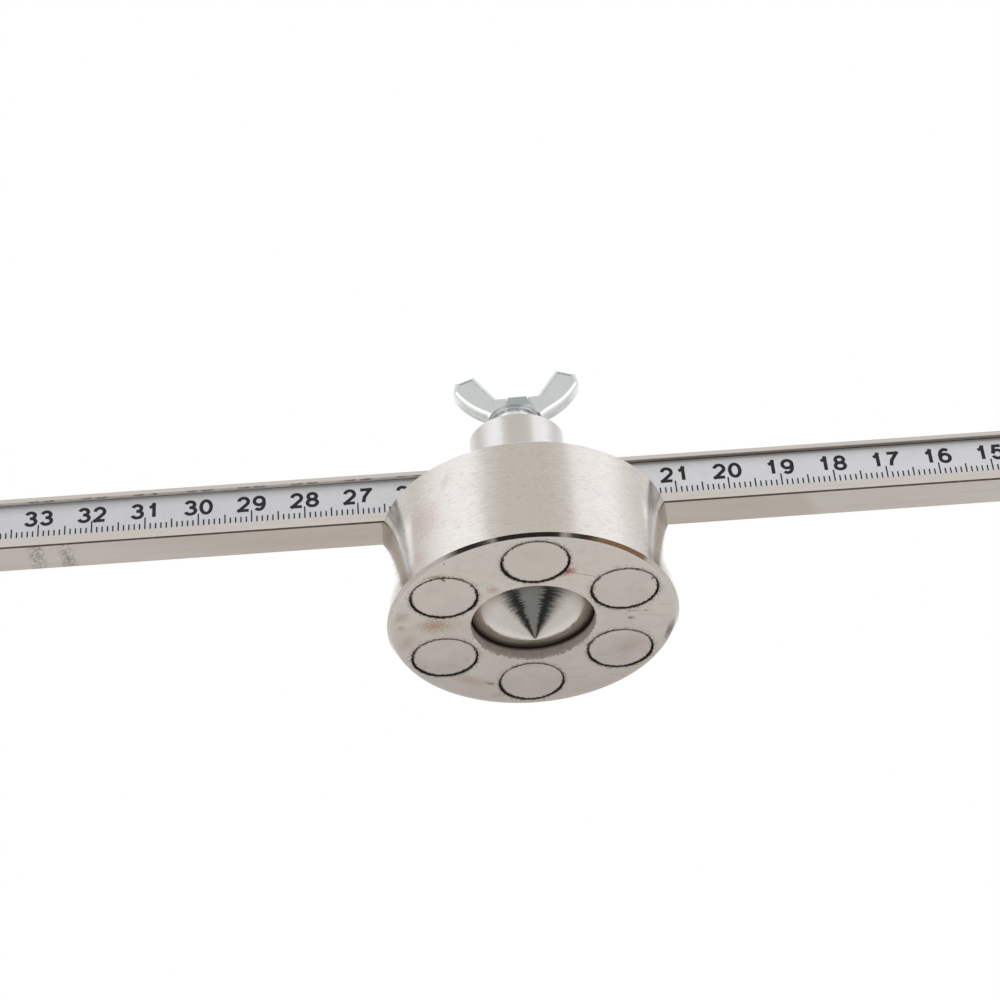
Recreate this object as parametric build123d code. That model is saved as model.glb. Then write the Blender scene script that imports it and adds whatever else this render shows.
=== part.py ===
from build123d import *
import math
import os

# A magnetic circle cutting guide: a base that stands on the plate, a spindle that turns in it, a graduated
# rail that slides through the spindle, and a torch carriage on two rollers at the rail's end.
# Millimetres. The origin is the centre of the magnet face, +X runs along the rail towards the torch, +Z is up.

# Clearances
slip = 0.05  # radial, between a shaft and the bore that it turns or slides in
press = 0.02  # radial, between a piece and the seat that it is pressed, glued or screwed into
by = 0.3  # between two pieces that pass each other
overrun = 1.0  # how far a cutter runs past the face that it opens

# Base
base_r = 26.7
base_h = 21.4
face_chamfer = 0.6
top_chamfer = 0.5
well_r = 11.45
well_chamfer = 0.2
magnet_count = 6
magnet_r = 6.0
magnet_h = 5.0
magnet_circle_r = 18.8
magnet_chamfer = 0.25
pocket_gap = 0.15
base_turn = 1.75  # degrees that the base stands turned under the rail

# Bush and washers
bush_wall = 2.4
flange_w = 2.0
flange_h = 1.5
washer_h = 0.5
ring_h = 1.0
ring_w = 1.9
ring_depth = 0.6
ring_mouth = 5.0

# Centre point
point_reach = 3.5
cone_r = 11.2
cone_h = 6.15
tip_r = 0.2
rim_h = 1.6
rim_chamfer = 0.3
stem_r = 3.0
pin_r = 1.0
pin_cover = 1.9
spring_wire_r = 0.45
spring_pitch = 1.775
spring_land = 1.45  # between the end of the spring's bore and the pin

# Spindle
boss_r = 9.27
boss_cover = 7.25  # from the top of the rail to the top of the boss
boss_chamfer = 0.15
shank_r = 7.0
shank_chamfer = 0.4
end_land = 0.8
slot_floor = 1.9

# Rail and scale
rail_rise = 1.35  # from the underside of the boss to the rail
rail_h = 11.75
rail_depth = 7.3
rail_lead = 3.13  # how far the rail's front face stands in front of the spindle's axis
rail_end_land = 5.1  # how far the rail reaches past the tape, away from the torch
rail_chamfer = 0.25
channel_depth = 1.2
channel_lip = 2.2
channel_h = 8.4
tape_h = 8.2
tape_thick = 0.25
tape_end_radius = 355.0
tape_start_radius = 40.0
stop_washer_r = 7.2
stop_washer_h = 1.5
stop_screw_r = 2.0
stop_screw_depth = 9.0
stop_head_r = 3.8
stop_head_h = 2.3

# Wing screws
pad_h = 1.6
pad_chamfer = 0.3
wing_stud_r = 4.0
wing_lift = 4.95  # from the top of the boss to the underside of the wing's hub
wing_turn = -1.5  # degrees that the wings stand turned from the rail
wing_collar_r = 4.45
wing_offset = 0.9  # how far the cast wings stand off the stud's axis
hub_foot_r = 5.0
hub_foot_h = 1.1
hub_foot_chamfer = 0.2
hub_flats = 8.2
hub_flats_h = 3.05
hub_flats_chamfer = 0.35
hub_taper = 18  # degrees that the hub's six flats lean inwards
wing_half_span = 12.2
wing_h = 11.7
wing_thick = 3.7
wing_chamfer = 0.65
wing_border = 0.9
wing_panel_depth = 0.2
small_wing_scale = 0.8

# Torch collar
torch_radius = 239.1  # the radius that the scale reads at the spindle
torch_bore_r = 11.5
collar_r = 17.0
bore_chamfer = 0.8
carriage_floor = 1.5
carriage_roof = 3.0
lug_wall = 3.0
lug_length = 18.0
lug_web = 3.0
lug_fillet = 2.0
set_screw_r = 2.5
set_screw_pitch = 9.0
set_screw_edge = 5.0
set_screw_proud = 0.6
torch_stud_r = 2.5
torch_lift = 6.0
torch_travel = 2.5  # how far the torch screw can be turned in
clamp_boss_r = 6.5
clamp_boss_h = 3.0

# Crossbar, legs and rollers
bar_thick = 9.0
bar_lead = 5.0  # how far the crossbar's outer face stands past the torch's axis
bar_half = 36.0
bar_fillet = 3.0
leg_y = 29.0
leg_thick = 3.0
leg_w = 12.0
leg_travel = 3.0
leg_cap = 4.0
leg_screw_r = 2.0
leg_screw_pitch = 8.4
leg_screw_head_r = 3.5
leg_screw_head_h = 4.0
leg_washer_r = 4.3
leg_washer_h = 0.8
wheel_r = 8.5
wheel_w = 6.0
wheel_chamfer = 0.7
wheel_hub_r = 4.2
wheel_rim = 1.8
wheel_recess = 0.8
axle_r = 3.0
axle_head_r = 4.8
axle_head_h = 2.6
spacer_h = 0.8
spacer_r = 4.2
wheel_float = 0.1
nut_flats = 8.0
nut_h = 4.0
nut_cover = 1.0
hex_share = 0.55  # a hexagon socket's width, as a share of its screw head's
socket_share = 0.6  # and its depth, as a share of the head's height

# Heights of the pivot, worked upwards from the magnet face
point_tip = -point_reach
rim_low = point_tip + cone_h
point_back = rim_low + rim_h
spindle_low = point_back + point_reach + by
ring_low = spindle_low + end_land
ring_high = ring_low + ring_h
well_h = ring_high + washer_h + slip
boss_low = base_h + washer_h + slip
rail_low = boss_low + rail_rise
bore_top = rail_low - slot_floor
stem_top = bore_top - point_reach - by
pin_z = stem_top - pin_cover - pin_r
spring_top = pin_z - pin_r - spring_land

# Radii of the pivot
bush_bore_r = shank_r + slip
bush_r = bush_bore_r + bush_wall
flange_r = bush_r + flange_w
groove_r = shank_r - ring_depth
spring_bore_r = stem_r + 2 * (2 * spring_wire_r) + by
spring_r = (stem_r + spring_bore_r) / 2

# Places of the rail
rail_front = -rail_lead
rail_back = rail_front + rail_depth
rail_high = rail_low + rail_h
rail_mid = (rail_low + rail_high) / 2
boss_top = rail_high + boss_cover
channel_back = rail_front + channel_depth
channel_low = rail_low + channel_lip
web_mid = (channel_back + rail_back) / 2
torch_x = torch_radius
tape_left = torch_x - tape_end_radius
tape_right = torch_x - tape_start_radius
rail_left = tape_left - rail_end_land
rail_right = torch_x - torch_bore_r - lug_web
lug_end = torch_x - collar_r - lug_length

# Places of the carriage
carriage_low = rail_low - carriage_floor
carriage_high = rail_high + carriage_roof
carriage_mid = (carriage_low + carriage_high) / 2
bar_out = torch_x + bar_lead
leg_out = bar_out + leg_thick
wheel_far = bar_out - spacer_h - wheel_float - wheel_w
nut_near = wheel_far - wheel_float
slot_r = leg_screw_r + slip
slot_half = leg_screw_pitch / 2 + leg_travel + slot_r
leg_top = carriage_mid + slot_half + leg_cap

# The screws' seats
tapped_r = wing_stud_r + slip
wing_tip = rail_high + pad_h
wing_seat = boss_top + wing_lift
clamp_face = torch_x + collar_r + clamp_boss_h
torch_pad_near = torch_x + torch_bore_r + by
torch_pad_far = torch_pad_near + pad_h * small_wing_scale

# The wing's outline beyond the hub, as shares of its half span and of its height
wing_root_low_shares = (0.265, 0.12)
wing_heel_shares = (0.36, 0.015)
wing_foot_shares = (0.5, 0.133)
wing_belly_shares = (0.8, 0.374)
wing_shoulder_shares = (1.0, 0.668)
wing_corner_shares = (0.96, 0.882)
wing_tip_shares = (0.67, 1.0)
wing_root_high_shares = (0.34, 0.488)


def disc(radius, low, high, x=0, y=0):
    """An upright cylinder between two heights."""
    upright = (Align.CENTER, Align.CENTER, Align.MIN)
    return Pos(x, y, low) * Cylinder(radius, high - low, align=upright)


def lying_disc(radius, near, far, y=0, z=0):
    """A cylinder along X between two places."""
    return Location((near, y, z), (0, 90, 0)) * disc(radius, 0, far - near)


def block(x_low, x_high, y_low, y_high, z_low, z_high):
    """A box between two corners."""
    corner = (Align.MIN, Align.MIN, Align.MIN)
    size = Box(x_high - x_low, y_high - y_low, z_high - z_low, align=corner)
    return Pos(x_low, y_low, z_low) * size


def turned(points):
    """A piece turned about Z from an outline of (radius, height) points."""
    outline = Plane.XZ * make_face(Polyline(*points, close=True))
    return revolve(outline, Axis.Z)


def hexagon(across, low, high):
    """An upright hexagonal prism, by its width across flats."""
    outline = RegularPolygon(across / 2, 6, major_radius=False)
    return Pos(0, 0, low) * extrude(outline, high - low)


def washer(hole_r, outer_r, low, high):
    """A flat ring."""
    return disc(outer_r, low, high) - disc(hole_r, low - overrun, high + overrun)


def socket_screw(stud_r, stud_length, head_r, head_h):
    """A socket head screw along Z, with its head standing on the plane z = 0."""
    body = disc(stud_r, -stud_length, 0) + disc(head_r, 0, head_h)
    across = 2 * head_r * hex_share
    return body - hexagon(across, head_h * (1 - socket_share), head_h + overrun)


def magnet_places():
    """The places of the magnets' axes on the magnet face."""
    first = base_turn - 90
    step = 360 / magnet_count
    return [
        Pos(
            magnet_circle_r * math.cos(math.radians(first + step * i)),
            magnet_circle_r * math.sin(math.radians(first + step * i)),
        )
        for i in range(magnet_count)
    ]


def base_body():
    """The round base: a well for the point below, and a stepped seat for the bush above."""
    seat_r = bush_r + press
    flange_seat_r = flange_r + press
    flange_low = base_h - flange_h
    body = turned(
        [
            (well_r, well_chamfer),
            (well_r + well_chamfer, 0),
            (base_r - face_chamfer, 0),
            (base_r, face_chamfer),
            (base_r, base_h - top_chamfer),
            (base_r - top_chamfer, base_h),
            (flange_seat_r, base_h),
            (flange_seat_r, flange_low),
            (seat_r, flange_low),
            (seat_r, well_h),
            (well_r, well_h),
        ]
    )
    pocket = disc(magnet_r + pocket_gap, -overrun, magnet_h)
    for place in magnet_places():
        body -= place * pocket
    return body


def magnet():
    """One disc magnet with broken edges, flush with the magnet face."""
    return turned(
        [
            (0, 0),
            (magnet_r - magnet_chamfer, 0),
            (magnet_r, magnet_chamfer),
            (magnet_r, magnet_h - magnet_chamfer),
            (magnet_r - magnet_chamfer, magnet_h),
            (0, magnet_h),
        ]
    )


def pivot_bush():
    """The flanged bush that the spindle turns in."""
    flange_low = base_h - flange_h
    return turned(
        [
            (bush_bore_r, well_h),
            (bush_r, well_h),
            (bush_r, flange_low),
            (flange_r, flange_low),
            (flange_r, base_h),
            (bush_bore_r, base_h),
        ]
    )


def retaining_ring():
    """The open ring in the groove at the lower end of the spindle."""
    ring = washer(groove_r + press, groove_r + press + ring_w, ring_low, ring_high)
    reach = groove_r + ring_w + overrun
    half = ring_mouth / 2
    return ring - block(0, reach, -half, half, ring_low - overrun, ring_high + overrun)


def spindle():
    """The turned spindle: journal below, boss above with a window for the rail and a tapped hole."""
    body = turned(
        [
            (0, spindle_low),
            (shank_r - shank_chamfer, spindle_low),
            (shank_r, spindle_low + shank_chamfer),
            (shank_r, ring_low),
            (groove_r, ring_low),
            (groove_r, ring_high),
            (shank_r, ring_high),
            (shank_r, boss_low),
            (boss_r, boss_low),
            (boss_r, boss_top - boss_chamfer),
            (boss_r - boss_chamfer, boss_top),
            (0, boss_top),
        ]
    )
    reach = boss_r + overrun
    window = block(-reach, reach, rail_front - slip, rail_back + slip, rail_low, rail_high + slip)
    body -= window
    body -= disc(tapped_r, rail_high, boss_top + overrun)
    body -= disc(spring_bore_r, spindle_low - overrun, spring_top)
    body -= disc(stem_r + slip, spindle_low, bore_top)
    body -= lying_disc(pin_r + press, -reach, reach, z=pin_z)
    return body


def centre_point():
    """The wide cone with its guide rim, and the slotted stem that slides in the spindle."""
    body = turned(
        [
            (0, point_tip),
            (tip_r, point_tip),
            (cone_r, rim_low),
            (cone_r, point_back - rim_chamfer),
            (cone_r - rim_chamfer, point_back),
            (stem_r, point_back),
            (stem_r, stem_top - rim_chamfer),
            (stem_r - rim_chamfer, stem_top),
            (0, stem_top),
        ]
    )
    half = pin_r + slip
    slot_low = pin_z - half - point_reach
    return body - block(-stem_r - overrun, stem_r + overrun, -half, half, slot_low, pin_z + half)


def arc_pair(start, start_way, end, end_way):
    """Two arcs of like size that leave one point and reach another along the given unit directions."""
    span = end - start
    ways = start_way + end_way
    spread = 2 * (1 - start_way.dot(end_way))
    along = span.dot(ways)
    reach = (math.sqrt(along**2 + spread * span.dot(span)) - along) / spread
    middle = (start + end + (start_way - end_way) * reach) * 0.5
    first = TangentArc(start, middle, tangent=start_way)
    return [first, TangentArc(middle, end, tangent=first % 1)]


def coil_line(radius, pitch, low, high):
    """The centre line of a coil about Z, as a pair of arcs for each quarter turn or less."""
    steps = math.ceil(4 * (high - low) / pitch)
    turn = 2 * math.pi * (high - low) / pitch / steps
    rise = (high - low) / steps
    slope = rise / turn
    points = []
    ways = []
    for i in range(steps + 1):
        across, along = math.cos(turn * i), math.sin(turn * i)
        points.append(Vector(radius * across, radius * along, low + rise * i))
        ways.append(Vector(-radius * along, radius * across, slope).normalized())
    arcs = []
    for i in range(steps):
        arcs += arc_pair(points[i], ways[i], points[i + 1], ways[i + 1])
    return Wire(arcs)


def point_spring():
    """The coil between the point's rim and the end of the spindle's wide bore."""
    path = coil_line(spring_r, spring_pitch, point_back + spring_wire_r, spring_top - spring_wire_r)
    section = Plane(origin=path @ 0, z_dir=path % 0) * Circle(spring_wire_r)
    print("point_spring: gap between its turns, mm", round(spring_pitch - 2 * spring_wire_r, 3))
    return sweep(section, path=path)


def rail():
    """The flat bar, with the channel for the scale in its front and a tapped hole in its tail."""
    body = block(rail_left, rail_right, rail_front, rail_back, rail_low, rail_high)
    body = chamfer(body.edges().filter_by(Axis.X), rail_chamfer)
    body -= block(
        rail_left - overrun,
        rail_right + overrun,
        rail_front - overrun,
        channel_back,
        channel_low,
        channel_low + channel_h,
    )
    hole_r = stop_screw_r + press
    return body - lying_disc(hole_r, rail_left - overrun, rail_left + stop_screw_depth, web_mid, rail_mid)


def scale_tape():
    """The thin graduated strip on the floor of the rail's channel."""
    low = channel_low + (channel_h - tape_h) / 2
    return block(tape_left, tape_right, channel_back - tape_thick, channel_back, low, low + tape_h)


def rail_stop_washer():
    """The washer on the rail's tail, too wide for the spindle's window."""
    flat = washer(stop_screw_r + slip, stop_washer_r, 0, stop_washer_h)
    return Location((rail_left, web_mid, rail_mid), (0, -90, 0)) * flat


def rail_stop_screw():
    """The low-headed socket screw that holds the stop washer."""
    length = stop_screw_depth - by + stop_washer_h
    screw = socket_screw(stop_screw_r, length, stop_head_r, stop_head_h)
    return Location((rail_left - stop_washer_h, web_mid, rail_mid), (0, -90, 0)) * screw


def wing_points(scale):
    """The corners of the right wing's outline, from its heel round by its tip to its root."""
    table = (
        wing_heel_shares,
        wing_foot_shares,
        wing_belly_shares,
        wing_shoulder_shares,
        wing_corner_shares,
        wing_tip_shares,
        wing_root_high_shares,
        wing_root_low_shares,
    )
    return [(x * wing_half_span * scale, z * wing_h * scale) for x, z in table]


def wing_plate(scale):
    """Both wings and the saddle between them about the plane y = 0, with a panel sunk in each face."""
    heel, foot, belly, shoulder, corner, tip, root_high, root_low = wing_points(scale)
    right = [shoulder, corner, tip, root_high]
    left = [(-x, z) for x, z in reversed(right)]
    left_belly, left_foot, left_heel = [(-x, z) for x, z in (belly, foot, heel)]
    lower = ThreePointArc(foot, belly, shoulder)
    outline = make_face(
        lower
        + Polyline(*right, *left)
        + ThreePointArc(left[-1], left_belly, left_foot)
        + Polyline(left_foot, left_heel, heel, foot)
    )
    wing = make_face(lower + Polyline(*right, root_low, foot))
    panel = offset(wing, -wing_border * scale, kind=Kind.INTERSECTION)
    half = wing_thick * scale / 2
    front = extrude(Plane.XZ * outline, half)
    front = chamfer(front.faces().sort_by(Axis.Y)[0].edges(), wing_chamfer * scale)
    recess = extrude(Plane.XZ.offset(half - wing_panel_depth * scale) * panel, overrun)
    front -= recess
    front -= mirror(recess, about=Plane.YZ)
    return front + mirror(front, about=Plane.XZ)


def wing_hub(scale):
    """The six flats of the wing screw's hub, which lean in, standing on z = 0."""
    flats = RegularPolygon(hub_flats * scale / 2, 6, major_radius=False)
    block = extrude(flats, hub_flats_h * scale, taper=hub_taper)
    return chamfer(block.faces().sort_by(Axis.Z)[0].edges(), hub_flats_chamfer * scale)


def wing_screw(scale, stud_r, stud_length, collar_h):
    """A wing screw along Z, with the underside of its hub on the plane z = 0 and its collar and stud below."""
    foot_top = hub_foot_h * scale
    foot = disc(hub_foot_r * scale, 0, foot_top)
    foot = chamfer(foot.edges().sort_by(Axis.Z)[-1], hub_foot_chamfer * scale)
    head = wing_plate(scale) + Pos(0, 0, foot_top) * wing_hub(scale)
    collar = disc(wing_collar_r * scale, -collar_h, 0)
    return Pos(wing_offset * scale, 0, 0) * head + foot + collar + disc(stud_r, -stud_length, 0)


def pressure_pad(hole_r, height):
    """The soft pad that a wing screw turns against, standing on z = 0."""
    radius = hole_r - by
    return turned(
        [
            (0, 0),
            (radius - pad_chamfer, 0),
            (radius, pad_chamfer),
            (radius, height),
            (0, height),
        ]
    )


def carriage_body():
    """The torch collar with the rail's socket, the crossbar and the clamp screw's boss."""
    half = lug_wall + rail_depth / 2
    middle = (rail_front + rail_back) / 2
    lug = block(lug_end, torch_x, middle - half, middle + half, carriage_low, carriage_high)
    lug = fillet(lug.edges().filter_by(Axis.Z).group_by(Axis.X)[0], lug_fillet)
    bar = block(bar_out - bar_thick, bar_out, -bar_half, bar_half, carriage_low, carriage_high)
    bar = fillet(bar.edges().filter_by(Axis.X), bar_fillet)
    body = disc(collar_r, carriage_low, carriage_high, torch_x) + lug + bar
    body += lying_disc(clamp_boss_r, torch_x, clamp_face, 0, carriage_mid)
    body -= disc(torch_bore_r, carriage_low - overrun, carriage_high + overrun, torch_x)
    mouth_r = torch_bore_r + bore_chamfer
    mouth = turned(
        [(0, 0), (torch_bore_r, 0), (mouth_r, bore_chamfer), (mouth_r, overrun), (0, overrun)]
    )
    body -= Pos(torch_x, 0, carriage_high - bore_chamfer) * mouth
    body -= Location((torch_x, 0, carriage_low + bore_chamfer), (180, 0, 0)) * mouth
    body -= block(
        lug_end - overrun, rail_right, rail_front - slip, rail_back + slip, rail_low, rail_high + slip
    )
    for x in set_screw_places():
        body -= disc(set_screw_r + press, rail_high, carriage_high + overrun, x, web_mid)
    stud_hole_r = torch_stud_r + slip
    body -= lying_disc(stud_hole_r, torch_x, clamp_face + overrun, 0, carriage_mid)
    for y, z in leg_screw_places():
        body -= lying_disc(leg_screw_r + press, bar_out - bar_thick - overrun, bar_out + overrun, y, z)
    return body


def set_screw_places():
    """Where the two set screws stand along the lug."""
    first = lug_end + set_screw_edge
    return [first, first + set_screw_pitch]


def leg_screw_places():
    """The (y, z) places of the legs' screws in the crossbar."""
    half = leg_screw_pitch / 2
    return [(side * leg_y, carriage_mid + way * half) for side in (-1, 1) for way in (-1, 1)]


def rail_set_screws():
    """The two socket set screws that hold the rail in the collar's lug."""
    top = carriage_high + set_screw_proud
    screws = []
    for x in set_screw_places():
        screw = disc(set_screw_r, rail_high, top, x, web_mid)
        across = 2 * set_screw_r * hex_share
        depth = (top - rail_high) * socket_share
        screw -= Pos(x, web_mid, 0) * hexagon(across, top - depth, top + overrun)
        screws.append(screw)
    return Compound(screws)


def leg(side):
    """One leg: a round-ended plate with an upright slot for its screws and a hole for the axle."""
    low = wheel_r - leg_w / 2
    tall = leg_top - low
    face = Plane.YZ.offset(bar_out)
    outline = Pos(side * leg_y, (low + leg_top) / 2) * SlotOverall(tall, leg_w, rotation=90)
    slot = Pos(side * leg_y, carriage_mid) * SlotOverall(2 * slot_half, 2 * slot_r, rotation=90)
    body = extrude(face * (outline - slot), leg_thick)
    return body - lying_disc(axle_r + press, bar_out - overrun, leg_out + overrun, side * leg_y, wheel_r)


def leg_screws():
    """The socket head screws that clamp both legs to the crossbar."""
    length = leg_washer_h + leg_thick + bar_thick - by
    screw = socket_screw(leg_screw_r, length, leg_screw_head_r, leg_screw_head_h)
    seat = leg_out + leg_washer_h
    return Compound([Location((seat, y, z), (0, 90, 0)) * screw for y, z in leg_screw_places()])


def leg_washers():
    """The washers under those screws' heads."""
    flat = washer(leg_screw_r + slip, min(leg_washer_r, leg_screw_pitch / 2), 0, leg_washer_h)
    return Compound([Location((leg_out, y, z), (0, 90, 0)) * flat for y, z in leg_screw_places()])


def axle(side):
    """The shoulder screw that carries a wheel, with its head outside the leg."""
    length = leg_out - (nut_near - nut_h - nut_cover)
    screw = socket_screw(axle_r, length, axle_head_r, axle_head_h)
    return Location((leg_out, side * leg_y, wheel_r), (0, 90, 0)) * screw


def spacer(side):
    """The thin washer between a leg and its wheel."""
    flat = washer(axle_r + slip, spacer_r, 0, spacer_h)
    return Location((bar_out - spacer_h, side * leg_y, wheel_r), (0, 90, 0)) * flat


def axle_nut(side):
    """The hexagon nut on the inner end of an axle."""
    nut = hexagon(nut_flats, 0, nut_h) - disc(axle_r + press, -overrun, nut_h + overrun)
    return Location((nut_near - nut_h, side * leg_y, wheel_r), (0, 90, 0)) * nut


def wheel(side):
    """One turned roller, recessed on both faces between its hub and its rim."""
    bore = axle_r + slip
    rim_r = wheel_r - wheel_rim
    tyre = wheel_r - wheel_chamfer
    outline = [
        (bore, 0),
        (wheel_hub_r, 0),
        (wheel_hub_r, wheel_recess),
        (rim_r, wheel_recess),
        (rim_r, 0),
        (tyre, 0),
        (wheel_r, wheel_chamfer),
        (wheel_r, wheel_w - wheel_chamfer),
        (tyre, wheel_w),
        (rim_r, wheel_w),
        (rim_r, wheel_w - wheel_recess),
        (wheel_hub_r, wheel_w - wheel_recess),
        (wheel_hub_r, wheel_w),
        (bore, wheel_w),
    ]
    return Location((wheel_far, side * leg_y, wheel_r), (0, 90, 0)) * turned(outline)


def nodes():
    """Every piece by its name, in its place."""
    made = {
        "base_body": base_body(),
        "pivot_bush": pivot_bush(),
        "thrust_washer": washer(bush_bore_r, boss_r - by, base_h, base_h + washer_h),
        "lower_washer": washer(bush_bore_r, bush_r, ring_high, ring_high + washer_h),
        "retaining_ring": retaining_ring(),
        "spindle": spindle(),
        "centre_point": centre_point(),
        "point_pin": lying_disc(pin_r, -groove_r, groove_r, z=pin_z),
        "point_spring": point_spring(),
        "rail": rail(),
        "scale_tape": scale_tape(),
        "rail_stop_washer": rail_stop_washer(),
        "rail_stop_screw": rail_stop_screw(),
        "pressure_pad": Pos(0, 0, rail_high) * pressure_pad(tapped_r, pad_h),
        "carriage_body": carriage_body(),
        "rail_set_screws": rail_set_screws(),
        "leg_screws": leg_screws(),
        "leg_washers": leg_washers(),
    }
    for number, place in enumerate(magnet_places(), 1):
        made[f"magnet_{number}"] = place * magnet()
    clamp = wing_screw(1, wing_stud_r, wing_seat - wing_tip, wing_lift - by)
    made["wing_screw"] = Location((0, 0, wing_seat), (0, 0, wing_turn)) * clamp
    torch_pad = pressure_pad(torch_stud_r + slip, torch_pad_far - torch_pad_near)
    made["torch_pad"] = Location((torch_pad_near, 0, carriage_mid), (0, 90, 0)) * torch_pad
    torch_seat = clamp_face + torch_lift
    torch_collar_h = torch_lift - torch_travel - by
    torch_stud_length = torch_seat - torch_pad_far
    torch_clamp = wing_screw(small_wing_scale, torch_stud_r, torch_stud_length, torch_collar_h)
    made["torch_screw"] = Location((torch_seat, 0, carriage_mid), (0, 90, 0)) * torch_clamp
    for name, side in (("front", -1), ("rear", 1)):
        made[f"leg_{name}"] = leg(side)
        made[f"axle_{name}"] = axle(side)
        made[f"spacer_{name}"] = spacer(side)
        made[f"axle_nut_{name}"] = axle_nut(side)
        made[f"wheel_{name}"] = wheel(side)
    return made


os.makedirs("parts", exist_ok=True)
for name, shape in nodes().items():
    export_step(shape, f"parts/{name}.step")
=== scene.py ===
import math

import bmesh
import bpy
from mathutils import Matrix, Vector
from mathutils.geometry import delaunay_2d_cdt


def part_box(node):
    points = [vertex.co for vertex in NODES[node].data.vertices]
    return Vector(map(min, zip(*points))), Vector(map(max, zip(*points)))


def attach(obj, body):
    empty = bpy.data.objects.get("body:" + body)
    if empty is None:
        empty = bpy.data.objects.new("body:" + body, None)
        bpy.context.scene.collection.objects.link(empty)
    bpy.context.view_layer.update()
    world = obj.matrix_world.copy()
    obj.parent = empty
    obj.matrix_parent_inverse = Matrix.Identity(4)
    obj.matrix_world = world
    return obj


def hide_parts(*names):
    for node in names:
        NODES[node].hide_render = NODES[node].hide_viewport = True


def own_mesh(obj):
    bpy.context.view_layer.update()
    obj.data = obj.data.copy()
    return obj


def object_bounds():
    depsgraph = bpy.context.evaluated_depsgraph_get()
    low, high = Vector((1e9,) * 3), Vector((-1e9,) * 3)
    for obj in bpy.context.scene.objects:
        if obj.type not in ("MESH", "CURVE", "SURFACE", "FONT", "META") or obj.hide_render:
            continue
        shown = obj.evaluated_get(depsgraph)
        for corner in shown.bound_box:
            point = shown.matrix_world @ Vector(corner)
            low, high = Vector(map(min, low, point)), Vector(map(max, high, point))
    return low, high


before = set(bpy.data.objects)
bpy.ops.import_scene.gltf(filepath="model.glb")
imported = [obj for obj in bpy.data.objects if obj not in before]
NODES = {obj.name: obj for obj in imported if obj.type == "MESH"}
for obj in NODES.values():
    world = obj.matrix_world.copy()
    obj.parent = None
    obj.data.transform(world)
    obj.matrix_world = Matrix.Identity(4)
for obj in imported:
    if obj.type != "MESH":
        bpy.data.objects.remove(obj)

# A magnetic circle cutting guide, seen from below its magnet face. +X runs along the rail to the torch, +Y
# away from the camera, +Z up. Lengths are in metres, except in the finishes, which count in millimetres, and
# where a comment says so.

MM = 0.001
CAD_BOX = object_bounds()

# Camera, placed so that the scale's marks and the base's circles fall where the photograph has them
CAMERA_PLACE = Vector((-15.8445, -383.1221, -268.5299)) * MM
CAMERA_TURN = (127.924, 4.0, 1.358)  # degrees
CAMERA_LENS = 92.382
CAMERA_SENSOR = 36
CAMERA_CLIP = 0.01

# Stage
FLOOR_SIZE = 6.0
FLOOR_GREY = (0.82, 0.82, 0.82)
FLOOR_FIBRES = (0.86, 0.86, 0.86)
SKY_ON_DIFFUSE = (0.7, 0.7, 0.7)
WHITE = (1.0, 1.0, 1.0)
LAMP_ELEVATION = 42  # degrees
LAMP_DISTANCE = 1.2
LAMP_SIZE = 0.8
LAMP_RADIANCE = 1.2

# Places on the part, read from the frame
MAGNET_NAMES = [f"magnet_{i}" for i in range(1, 7)]
MAGNET_LOW, MAGNET_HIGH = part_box(MAGNET_NAMES[0])
MAGNET_R = (MAGNET_HIGH.x - MAGNET_LOW.x) / 2 / MM  # millimetres
MAGNET_TURN = 2 * math.pi / len(MAGNET_NAMES)
TAPE_LOW, TAPE_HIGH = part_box("scale_tape")
TAPE_TOP = TAPE_HIGH.z / MM  # millimetres
BOSS_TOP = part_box("spindle")[1].z / MM  # millimetres

# Other measures of the part
TORCH_X = 239.1 * MM  # the torch's axis, from which the scale counts

# Scale
SCALE_NUMBERS = range(4, 36)  # centimetres, of which those that fit on the tape are printed
CENTIMETRE = 10 * MM
NUMBER_HEIGHT = 3.65 * MM
NUMBER_WIDTH = 2.58 * MM
NUMBER_STROKE = 0.69 * MM
NUMBER_SPACE = 0.36 * MM
NUMBER_LIFT = 3.05 * MM
TICK_WIDTH = 0.27 * MM
TICK_HEIGHTS = {10: 3.35 * MM, 5: 2.7 * MM, 1: 1.95 * MM}
INK_THICK = 0.02 * MM
ARC_STEP = 15  # degrees
SAME_POINT = 1e-6  # of a digit's box

# Colours, linear
NICKEL_SIDE = (0.525, 0.483, 0.43)
NICKEL_SIDE_WARM = (0.515, 0.462, 0.415)
BOSS_NICKEL = (0.528, 0.503, 0.466)
FLECK = (0.36, 0.22, 0.19)
DARK_LINE = (0.25, 0.22, 0.2)
BRIGHT_LINE = (0.75, 0.71, 0.66)
EDGE_BROWN = (0.12, 0.08, 0.06)
PALE_NICKEL = (0.82, 0.79, 0.75)
NICKEL_FACE = (0.6, 0.555, 0.5)
NICKEL_DARKER = (0.46, 0.415, 0.37)
NICKEL_SCRATCH = (0.16, 0.13, 0.11)
NICKEL_RIM = (0.62, 0.6, 0.57)
MAGNET_LIGHT = (0.575, 0.52, 0.465)
MAGNET_DARKER = (0.445, 0.4, 0.37)
MAGNET_SCRATCH = (0.2, 0.16, 0.13)
WELL_WALL = (0.7, 0.63, 0.56)
WELL_EDGE = (0.75, 0.7, 0.64)
POINT_STEEL = (0.59, 0.555, 0.51)
POINT_WARM = (0.56, 0.52, 0.46)
RAIL_NICKEL = (0.58, 0.545, 0.505)
RAIL_WARM = (0.57, 0.53, 0.48)
RAIL_UNDER = (0.49, 0.43, 0.375)
RAIL_LINE = (0.3, 0.26, 0.23)
RAIL_CRACK = (0.1, 0.09, 0.08)
SILVER = (0.7, 0.7, 0.715)
SILVER_FAR = (0.4, 0.4, 0.41)
SILVER_LIP_SHADOW = (0.27, 0.265, 0.26)
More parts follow.
